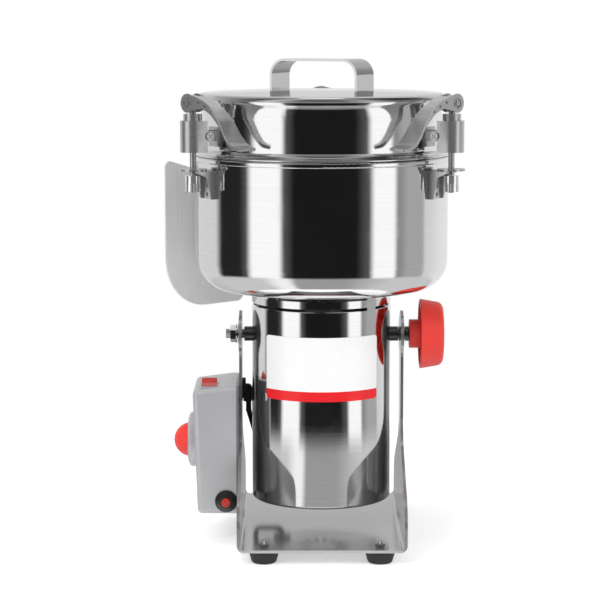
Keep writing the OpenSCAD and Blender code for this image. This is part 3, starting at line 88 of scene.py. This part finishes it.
def place(tree, stretch=EVEN):
    """The object's own coordinates, stretched along its axes."""
    coords = node(tree, "ShaderNodeTexCoord")
    mapping = node(tree, "ShaderNodeMapping", {"Scale": stretch})
    tree.links.new(coords.outputs["Object"], mapping.inputs["Vector"])
    return mapping.outputs["Vector"]


def axis(tree, letter):
    """The object's own X, Y or Z."""
    split = node(tree, "ShaderNodeSeparateXYZ")
    tree.links.new(place(tree), split.inputs["Vector"])
    return split.outputs[letter]


def length(tree, vector):
    made = node(tree, "ShaderNodeVectorMath", operation="LENGTH")
    tree.links.new(vector, made.inputs[0])
    return made.outputs["Value"]


def noise(tree, scale, detail=3.0, roughness=0.5, stretch=EVEN):
    """Noise with about this many cells to a metre, times the stretch."""
    values = {"Scale": scale, "Detail": detail, "Roughness": roughness}
    made = node(tree, "ShaderNodeTexNoise", values)
    tree.links.new(place(tree, stretch), made.inputs["Vector"])
    return made.outputs["Fac"]


def wave(tree, scale, direction, values):
    """Even waves along one axis."""
    made = node(tree, "ShaderNodeTexWave", {"Scale": scale, **values}, bands_direction=direction)
    tree.links.new(place(tree), made.inputs["Vector"])
    return made.outputs["Fac"]


def remap(tree, value, low, high, start=NOISE_LOW, end=NOISE_HIGH):
    """The value's range from start to end, turned into low to high and held there."""
    values = {"From Min": start, "From Max": end, "To Min": low, "To Max": high}
    made = node(tree, "ShaderNodeMapRange", values, clamp=True)
    tree.links.new(value, made.inputs["Value"])
    return made.outputs["Result"]


def step(tree, value, at, soft, low=0.0, high=1.0):
    """A step from low to high where the value passes a place."""
    return remap(tree, value, low, high, at - soft, at + soft)


def layered(tree, first, second, share):
    """Two noises added, the first by its share."""
    return calc(tree, "ADD", remap(tree, first, 0.0, share), remap(tree, second, 0.0, 1.0 - share))


def ramp(tree, value, stops):
    """A colour ramp with stops of (place, colour)."""
    made = node(tree, "ShaderNodeValToRGB")
    ends = made.color_ramp.elements
    while len(ends) < len(stops):
        ends.new(0.5)
    for end, (at, colour) in zip(ends, stops):
        end.position = at
        end.color = (*colour, 1.0)
    tree.links.new(value, made.inputs["Fac"])
    return made.outputs["Color"]


def two_tone(tree, value, dark, light):
    """From dark to light as a noise rises."""
    return ramp(tree, value, [(NOISE_LOW, dark), (NOISE_HIGH, light)])


def mix_colours(tree, share, first, second):
    """The first colour where the share is 0, and the second where it is 1."""
    made = node(tree, "ShaderNodeMix", data_type="RGBA")
    tree.links.new(share, made.inputs["Factor"])
    for socket, value in ((made.inputs["A"], first), (made.inputs["B"], second)):
        if isinstance(value, tuple):
            socket.default_value = (*value, 1.0)
        else:
            tree.links.new(value, socket)
    return made.outputs["Result"]


def repaint(tree, shader, share, colour):
    """A colour over what the shader shows already, where the share is 1."""
    below = shader.inputs["Base Color"].links[0].from_socket
    tree.links.new(mix_colours(tree, share, below, colour), shader.inputs["Base Color"])


def bump(tree, shader, height, distance, strength=1.0, under=None):
    """Bump on the shader, over another bump if there is one."""
    made = node(tree, "ShaderNodeBump", {"Strength": strength, "Distance": distance})
    tree.links.new(height, made.inputs["Height"])
    if under is not None:
        tree.links.new(under, made.inputs["Normal"])
    tree.links.new(made.outputs["Normal"], shader.inputs["Normal"])
    return made.outputs["Normal"]


def seen_by(tree, *kinds):
    """1 for a ray of any of these kinds."""
    path = node(tree, "ShaderNodeLightPath")
    share = path.outputs[kinds[0]]
    for kind in kinds[1:]:
        share = calc(tree, "MAXIMUM", share, path.outputs[kind])
    return share


def grey(value):
    return (value, value, value)


def srgb(value):
    """A linear grey from a screen's 0 to 255."""
    part = value / 255.0
    return part / 12.92 if part <= 0.04045 else ((part + 0.055) / 1.055) ** 2.4


# Materials

def polished_steel(name, colour=0.86, rough=(0.06, 0.13), grain=(8.0, 8.0, 900.0), wave_depth=0.00007):
    """Mirror-polished sheet: fine polishing lines, soft dull patches and a slow wave."""
    line_depth = 0.00002
    made, tree, shader = material(name)
    shader.inputs["Metallic"].default_value = 1.0
    lines = noise(tree, 1.0, detail=4.0, roughness=0.6, stretch=grain)
    patches = noise(tree, 34.0, detail=4.0, roughness=0.6)
    slow = noise(tree, 16.0, detail=2.0, roughness=0.4, stretch=(1.0, 1.0, 0.5))
    gloss = calc(tree, "MULTIPLY", step(tree, lines, 0.5, 0.25, 0.75, 1.0), remap(tree, patches, *rough))
    tree.links.new(gloss, shader.inputs["Roughness"])
    tint = two_tone(tree, lines, grey(colour * 0.95), grey(colour))
    tree.links.new(tint, shader.inputs["Base Color"])
    fine = bump(tree, shader, lines, line_depth, strength=0.25)
    bump(tree, shader, slow, wave_depth, under=fine)
    return made


def brushed_steel(name, colour=0.62, rough=(0.26, 0.4), grain=(900.0, 900.0, 9.0),
                  depth=0.00006, metal=1.0, fade=0.1):
    """Brushed sheet: long fine scratches along one way that vary in colour and gloss."""
    made, tree, shader = material(name)
    shader.inputs["Metallic"].default_value = metal
    shader.inputs["Anisotropic"].default_value = 0.35
    lines = noise(tree, 1.0, detail=5.0, roughness=0.65, stretch=grain)
    cloud = noise(tree, 22.0)
    tree.links.new(remap(tree, lines, *rough), shader.inputs["Roughness"])
    dark = grey(colour * (1.0 - fade))
    light = grey(colour * (1.0 + 0.6 * fade))
    tint = ramp(tree, layered(tree, lines, cloud, 0.7), [(0.0, dark), (1.0, light)])
    tree.links.new(tint, shader.inputs["Base Color"])
    bump(tree, shader, lines, depth, strength=0.6)
    return made


def moulded(name, colour, rough, spread=0.06, grain=900.0, depth=0.00003):
    """Moulded plastic or rubber: a fine skin, and slow drift in gloss and shade."""
    drift = 0.06
    made, tree, shader = material(name)
    skin = noise(tree, grain, roughness=0.6)
    slow = noise(tree, 42.0, roughness=0.55)
    tree.links.new(remap(tree, slow, rough - spread, rough + spread), shader.inputs["Roughness"])
    dark = tuple(c * (1.0 - drift) for c in colour)
    light = tuple(c * (1.0 + drift) for c in colour)
    tree.links.new(two_tone(tree, slow, dark, light), shader.inputs["Base Color"])
    bump(tree, shader, skin, depth, strength=0.7)
    return made


def painted(name, colour):
    """Satin powder paint: fine orange peel, with metal flake in the shade."""
    peel_depth = 0.00005
    made, tree, shader = material(name)
    shader.inputs["Metallic"].default_value = 0.35
    peel = noise(tree, 700.0, roughness=0.6)
    flake = noise(tree, 3200.0, detail=2.0, roughness=0.7)
    slow = noise(tree, 26.0)
    tree.links.new(remap(tree, slow, 0.28, 0.39), shader.inputs["Roughness"])
    dark = tuple(c * 0.92 for c in colour)
    light = tuple(c * 1.06 for c in colour)
    tint = ramp(tree, layered(tree, flake, slow, 0.5), [(0.0, dark), (1.0, light)])
    tree.links.new(tint, shader.inputs["Base Color"])
    bump(tree, shader, peel, peel_depth, strength=0.6)
    return made


def label_paper(name, band_top):
    """White label: faint paper fibre, and one plain red band along its bottom edge."""
    edge = 0.00015
    fibre_depth = 0.00002
    made, tree, shader = material(name)
    shader.inputs["Coat Weight"].default_value = 0.1
    shader.inputs["Coat Roughness"].default_value = 0.12
    fibre = noise(tree, 520.0, detail=4.0, roughness=0.7, stretch=(1.0, 1.0, 0.4))
    above = step(tree, axis(tree, "Z"), band_top, edge)
    red = two_tone(tree, fibre, (0.82, 0.004, 0.009), (0.87, 0.006, 0.012))
    white = two_tone(tree, fibre, grey(0.92), grey(0.955))
    tree.links.new(mix_colours(tree, above, red, white), shader.inputs["Base Color"])
    tree.links.new(remap(tree, fibre, 0.3, 0.42), shader.inputs["Roughness"])
    bump(tree, shader, fibre, fibre_depth, strength=0.5)
    return made


def windings(name):
    """Enamelled copper wire, wound side by side."""
    wire_scale = 420.0
    wire_depth = 0.0003
    made, tree, shader = material(name)
    shader.inputs["Metallic"].default_value = 1.0
    shader.inputs["Roughness"].default_value = 0.28
    turns = wave(tree, wire_scale, "Z", {"Distortion": 0.6, "Detail": 1.0})
    # The colour follows the same waves as the bump, darker in the grooves between turns: painted shade in
    # the grooves.
    tint = ramp(tree, turns, [(0.0, (0.24, 0.07, 0.025)), (1.0, (0.72, 0.27, 0.11))])
    tree.links.new(tint, shader.inputs["Base Color"])
    bump(tree, shader, turns, wire_depth, strength=0.8)
    return made


def threaded_steel(name, pitch):
    """Plated stud with a fine screw thread along X."""
    made, tree, shader = material(name)
    shader.inputs["Metallic"].default_value = 1.0
    turns = wave(tree, WAVE_LENGTH / pitch, "X", {"Distortion": 0.0})
    dirt = noise(tree, 500.0)
    tree.links.new(two_tone(tree, dirt, grey(0.5), grey(0.72)), shader.inputs["Base Color"])
    tree.links.new(remap(tree, dirt, 0.16, 0.3), shader.inputs["Roughness"])
    bump(tree, shader, turns, 0.32 * pitch, strength=0.8)
    return made


def dial_face(name, colour, centre_z):
    """Painted dial with a plain ring of printed marks round its middle."""
    marks = 24.0
    inner_r = 0.0167
    outer_r = 0.0193
    edge = 0.0001
    ink = grey(0.03)
    made = painted(name, colour)
    tree = made.node_tree
    across = axis(tree, "Y")
    rise = calc(tree, "SUBTRACT", axis(tree, "Z"), centre_z)
    flat = node(tree, "ShaderNodeCombineXYZ")
    tree.links.new(across, flat.inputs["X"])
    tree.links.new(rise, flat.inputs["Y"])
    far = length(tree, flat.outputs["Vector"])
    turn = calc(tree, "MULTIPLY", calc(tree, "ARCTAN2", across, rise), marks)
    tick = step(tree, calc(tree, "COSINE", turn), 0.92, 0.02)
    within = step(tree, far, outer_r, edge, 1.0, 0.0)
    beyond = step(tree, far, inner_r, edge)
    share = calc(tree, "MULTIPLY", tick, calc(tree, "MULTIPLY", within, beyond))
    repaint(tree, tree.nodes["Principled BSDF"], share, ink)
    return made


# Fine satin brushing, shared by all the latch parts
SATIN = {
    "colour": 0.6, "rough": (0.26, 0.3), "grain": (900.0, 900.0, 60.0), "depth": 0.000001, "fade": 0.04,
}


def latch_steel(name, nut_top):
    """Satin steel for strap and rod, and brighter, smoother plating on the bottom nut."""
    edge = 0.0002
    plating = (0.93, 0.93, 0.94)
    smoother = -0.12
    made = brushed_steel(name, metal=0.85, **SATIN)
    tree = made.node_tree
    shader = tree.nodes["Principled BSDF"]
    nut = step(tree, axis(tree, "Z"), nut_top + edge, edge, 1.0, 0.0)
    repaint(tree, shader, nut, plating)
    gloss = shader.inputs["Roughness"].links[0].from_socket
    total = calc(tree, "ADD", gloss, calc(tree, "MULTIPLY", nut, smoother))
    tree.links.new(total, shader.inputs["Roughness"])
    return made


ALL_WAYS = (300.0, 300.0, 300.0)
CAST = (400.0, 400.0, 400.0)
BOX_GREY = (0.52, 0.525, 0.54)
NUT_WAVE = 0.00002
KNOB_SKIN = {"spread": 0.05, "grain": 600.0, "depth": 0.00002}

looks = {
    "mirror_steel": polished_steel("mirror_steel"),
    "satin_steel": brushed_steel("satin_steel", metal=0.82, **SATIN),
    "brushed_steel": brushed_steel("brushed_steel"),
    "hardware_steel": polished_steel(
        "hardware_steel", colour=0.66, rough=(0.14, 0.26), grain=ALL_WAYS, wave_depth=NUT_WAVE),
    "dark_washer": brushed_steel("dark_washer", colour=0.14, rough=(0.3, 0.42), grain=CAST),
    "box_grey": painted("box_grey", BOX_GREY),
    "plate_grey": painted("plate_grey", (0.2, 0.205, 0.215)),
    "red_knob": moulded("red_knob", (0.87, 0.045, 0.032), rough=0.4, **KNOB_SKIN),
    "black_plastic": moulded("black_plastic", grey(0.014), rough=0.34),
    "cream_plastic": moulded("cream_plastic", (0.66, 0.62, 0.5), rough=0.4),
    "black_rubber": moulded(
        "black_rubber", grey(0.012), rough=0.62, spread=0.08, grain=1200.0, depth=0.00006),
    "clear_silicone": moulded("clear_silicone", (0.66, 0.66, 0.64), rough=0.36),
    "label_white": label_paper("label_white", band_top=0.1365),
    "cast_aluminium": brushed_steel(
        "cast_aluminium", colour=0.6, rough=(0.38, 0.55), grain=CAST, depth=0.0001),
    "core_iron": brushed_steel(
        "core_iron", colour=0.16, rough=(0.4, 0.55), grain=(20.0, 20.0, 1800.0), depth=0.0003),
    "copper_wire": windings("copper_wire"),
    "carbon": moulded("carbon", grey(0.02), rough=0.55),
}
latch = latch_steel("latch_steel", nut_top=0.318)
# A darker, glossier copy of the red knob plastic: painted shade of the recess that the rocker and reset
# button sit in.
recess_shaded_red = moulded("recess_shaded_red", (0.52, 0.03, 0.02), rough=0.3, **KNOB_SKIN)
# Nodes that look a little different from the rest of their slot
own_looks = {
    "cradle": brushed_steel(
        "cradle_sheet", colour=0.42, rough=(0.11, 0.18), grain=(40.0, 900.0, 900.0), depth=0.00001,
        metal=0.7),
    # Paler and less metallic than the other brushed steel: partly the guard's own light finish, partly
    # painted light making up for lamp light that the bowl keeps off the guard.
    "side_guard": brushed_steel(
        "guard_sheet", colour=0.93, rough=(0.4, 0.5), depth=0.00003, metal=0.2),
    "lid_handle": polished_steel("handle_steel", colour=0.62, rough=(0.04, 0.09)),
    "latch_left": latch,
    "latch_right": latch,
    "latch_rear": latch,
    # The rocker and reset button get the red with painted recess shade.
    "power_rocker": recess_shaded_red,
    "reset_button": recess_shaded_red,
    "trunnion_nut": polished_steel(
        "nut_steel", colour=0.85, rough=(0.14, 0.24), grain=ALL_WAYS, wave_depth=NUT_WAVE),
    "trunnion_studs": threaded_steel("stud_thread", pitch=0.00125),
    "timer_dial": dial_face("dial_paint", BOX_GREY, centre_z=0.0848),
}
for part in frame["record"]["subparts"]:
    mesh = nodes[part["node"]].data
    mesh.materials.clear()
    mesh.materials.append(own_looks.get(part["node"], looks[part["material_slot"]]))


# Studio

def link_mesh(name, work):
    """The finished bmesh as a new object in the scene."""
    mesh = bpy.data.meshes.new(name)
    work.to_mesh(mesh)
    work.free()
    made = bpy.data.objects.new(name, mesh)
    scene.collection.objects.link(made)
    return made


def disc_floor(radius, drop=0.0002, paper_white=0.86, lift=0.42):
    """A round pale floor that keeps the shadow and fades into the white world."""
    work = bmesh.new()
    bmesh.ops.create_circle(work, cap_ends=True, segments=96, radius=radius)
    made = link_mesh("floor", work)
    made.location.z = -drop
    look, tree, out = bare_material("floor_paper")
    paper = node(tree, "ShaderNodeBsdfDiffuse", {"Color": (*grey(paper_white), 1.0)})
    glow = node(tree, "ShaderNodeEmission", {"Color": WHITE})
    seen = seen_by(tree, "Is Camera Ray", "Is Glossy Ray")
    tree.links.new(calc(tree, "MULTIPLY", seen, lift), glow.inputs["Strength"])
    both = node(tree, "ShaderNodeAddShader")
    tree.links.new(paper.outputs["BSDF"], both.inputs[0])
    tree.links.new(glow.outputs["Emission"], both.inputs[1])
    tree.links.new(both.outputs["Shader"], out.inputs["Surface"])
    made.data.materials.append(look)


CARD_SIDES = 180
CARD_GLOW = 1.12
# Distance from the axis where a card's near greys turn into its far greys
BLEND_FROM = 0.45
BLEND_TO = 0.56


def card(name, low, high, greys, far_greys=None):
    """A ring of grey cards between two circles of (radius, height), which only polished surfaces see.
    The greys are pairs of (degrees round the object, brightness), with 0 at the camera's side."""
    work = bmesh.new()
    rows = []
    for radius, level in (low, high):
        row = []
        for i in range(CARD_SIDES):
            turn = 2 * math.pi * i / CARD_SIDES
            row.append(work.verts.new((radius * math.sin(turn), -radius * math.cos(turn), level)))
        rows.append(row)
    for i in range(CARD_SIDES):
        j = (i + 1) % CARD_SIDES
        work.faces.new((rows[0][i], rows[0][j], rows[1][j], rows[1][i]))
    made = link_mesh(name, work)
    look, tree, out = bare_material(name + "_greys")
    angle = calc(tree, "ARCTAN2", axis(tree, "X"), calc(tree, "MULTIPLY", axis(tree, "Y"), -1.0))
    turn = remap(tree, angle, 0.0, 1.0, -math.pi, math.pi)
    shade = ramp(tree, turn, card_stops(greys))
    if far_greys:
        far = step(tree, length(tree, place(tree)), (BLEND_FROM + BLEND_TO) / 2, (BLEND_TO - BLEND_FROM) / 2)
        shade = mix_colours(tree, far, shade, ramp(tree, turn, card_stops(far_greys)))
    glow = node(tree, "ShaderNodeEmission", {"Strength": CARD_GLOW})
    tree.links.new(shade, glow.inputs["Color"])
    tree.links.new(glow.outputs["Emission"], out.inputs["Surface"])
    made.data.materials.append(look)
    made.visible_camera = False
    made.visible_diffuse = False
    made.visible_shadow = False


def bands(parts):
    """Greys from parts of (from degrees, to degrees, brightness), with soft edges between them."""
    return [(turn, value) for start, end, value in parts for turn in (start, end)]


def card_stops(greys):
    """Ramp stops from pairs of (degrees, brightness from 0 to 255)."""
    return [((degrees + 180.0) / 360.0, grey(srgb(value))) for degrees, value in greys]


CARD_R = 1.2
CARD_FOOT = -0.6
CARD_SPLIT = 0.45
CARD_TOP = 1.0
FLOOR_CARD_R = 0.16
FLOOR_CARD_Z = 0.002
HIGH_CARD_R = 0.3
HIGH_CARD_Z = 1.9
# Greys of the cards, from 0 to 255
WHITE_CARD = 255
PALE_WALL = 225
GREY_WALL = 210
SIDE_WALL = 165
SIDE_EDGE = 140
SOFT_EDGE = 75
DARK_STRIP = 35
DARK_ROOM = 25
PAPER_STREAK = 245
PAPER_SIDES = 200
PAPER_BACK = 170
PAPER_FRONT = 155
# White cards on both sides of the dark room behind the camera, a dark strip to the left and walls beyond
WALL_GREYS = bands([
    (-180, -175, PALE_WALL), (-140, -107, GREY_WALL), (-99, -76, DARK_STRIP), (-70, -69, SOFT_EDGE),
    (-63, -37, WHITE_CARD), (-33, -31, SOFT_EDGE), (-24, 30, DARK_ROOM), (38, 41, SOFT_EDGE),
    (46, 65, WHITE_CARD), (69, 72, SIDE_EDGE), (80, 99, SIDE_WALL), (104, 108, GREY_WALL),
    (130, 180, PALE_WALL),
])
# White paper round the object, shaded in front by the camera and lit in a streak by the left card
FLOOR_GREYS = bands([
    (-180, -178, PAPER_BACK), (-110, -55, PAPER_SIDES), (-40, -30, PAPER_STREAK), (-23, 22, PAPER_FRONT),
    (64, 122, PAPER_SIDES), (178, 180, PAPER_BACK),
])
UPPER_GREYS = [
    (-180, 205), (-130, 190), (-95, 140), (-70, 105), (-50, 200), (-36, 165), (-20, 125), (20, 125),
    (46, 180), (60, 150), (75, 105), (112, 100), (135, 195), (180, 205),
]
HIGH_GREYS = [
    (-180, 200), (-120, 150), (-70, 60), (-50, 190), (-36, 150), (-20, 95), (20, 95), (46, 160),
    (60, 110), (75, 55), (112, 50), (135, 190), (180, 200),
]

disc_floor(radius=0.55)
card("wall_cards", (CARD_R, CARD_FOOT), (CARD_R, CARD_SPLIT), WALL_GREYS)
card("upper_cards", (CARD_R, CARD_SPLIT), (CARD_R, CARD_TOP), UPPER_GREYS)
card("floor_cards", (FLOOR_CARD_R, FLOOR_CARD_Z), (CARD_R, FLOOR_CARD_Z), FLOOR_GREYS, WALL_GREYS)
card("high_cards", (CARD_R, CARD_TOP), (HIGH_CARD_R, HIGH_CARD_Z), HIGH_GREYS)

# The world is white to the camera and in reflections, and lights the object at a lower level.
WORLD_LIGHT = 0.62
world = bpy.data.worlds.new("studio")
scene.world = world
world.use_nodes = True
world_tree = world.node_tree
world_tree.nodes.clear()
world_out = node(world_tree, "ShaderNodeOutputWorld")
seen = seen_by(world_tree, "Is Camera Ray", "Is Glossy Ray", "Is Transmission Ray")
sky = node(world_tree, "ShaderNodeBackground", {"Color": WHITE})
world_tree.links.new(remap(world_tree, seen, WORLD_LIGHT, 1.0, 0.0, 1.0), sky.inputs["Strength"])
world_tree.links.new(sky.outputs["Background"], world_out.inputs["Surface"])


LAMP_SIZE = 0.9
LAMP_AIM = Vector((0.0, 0.0, 0.2))


def soft_lamp(name, where, watts):
    """A wide soft lamp aimed at the object. Polished steel shows the cards in place of it."""
    data = bpy.data.lights.new(name, "AREA")
    data.shape = "DISK"
    data.size = LAMP_SIZE
    data.energy = watts
    made = bpy.data.objects.new(name, data)
    made.location = where
    made.rotation_mode = "QUATERNION"
    made.rotation_quaternion = (LAMP_AIM - Vector(where)).to_track_quat("-Z", "Y")
    made.visible_glossy = False
    scene.collection.objects.link(made)


soft_lamp("key", (-1.1, -1.5, 1.5), watts=16.0)
soft_lamp("fill", (1.4, -1.1, 1.0), watts=8.0)
soft_lamp("front", (0.15, -2.3, 0.8), watts=5.0)
soft_lamp("top", (-0.3, -0.3, 1.9), watts=8.0)
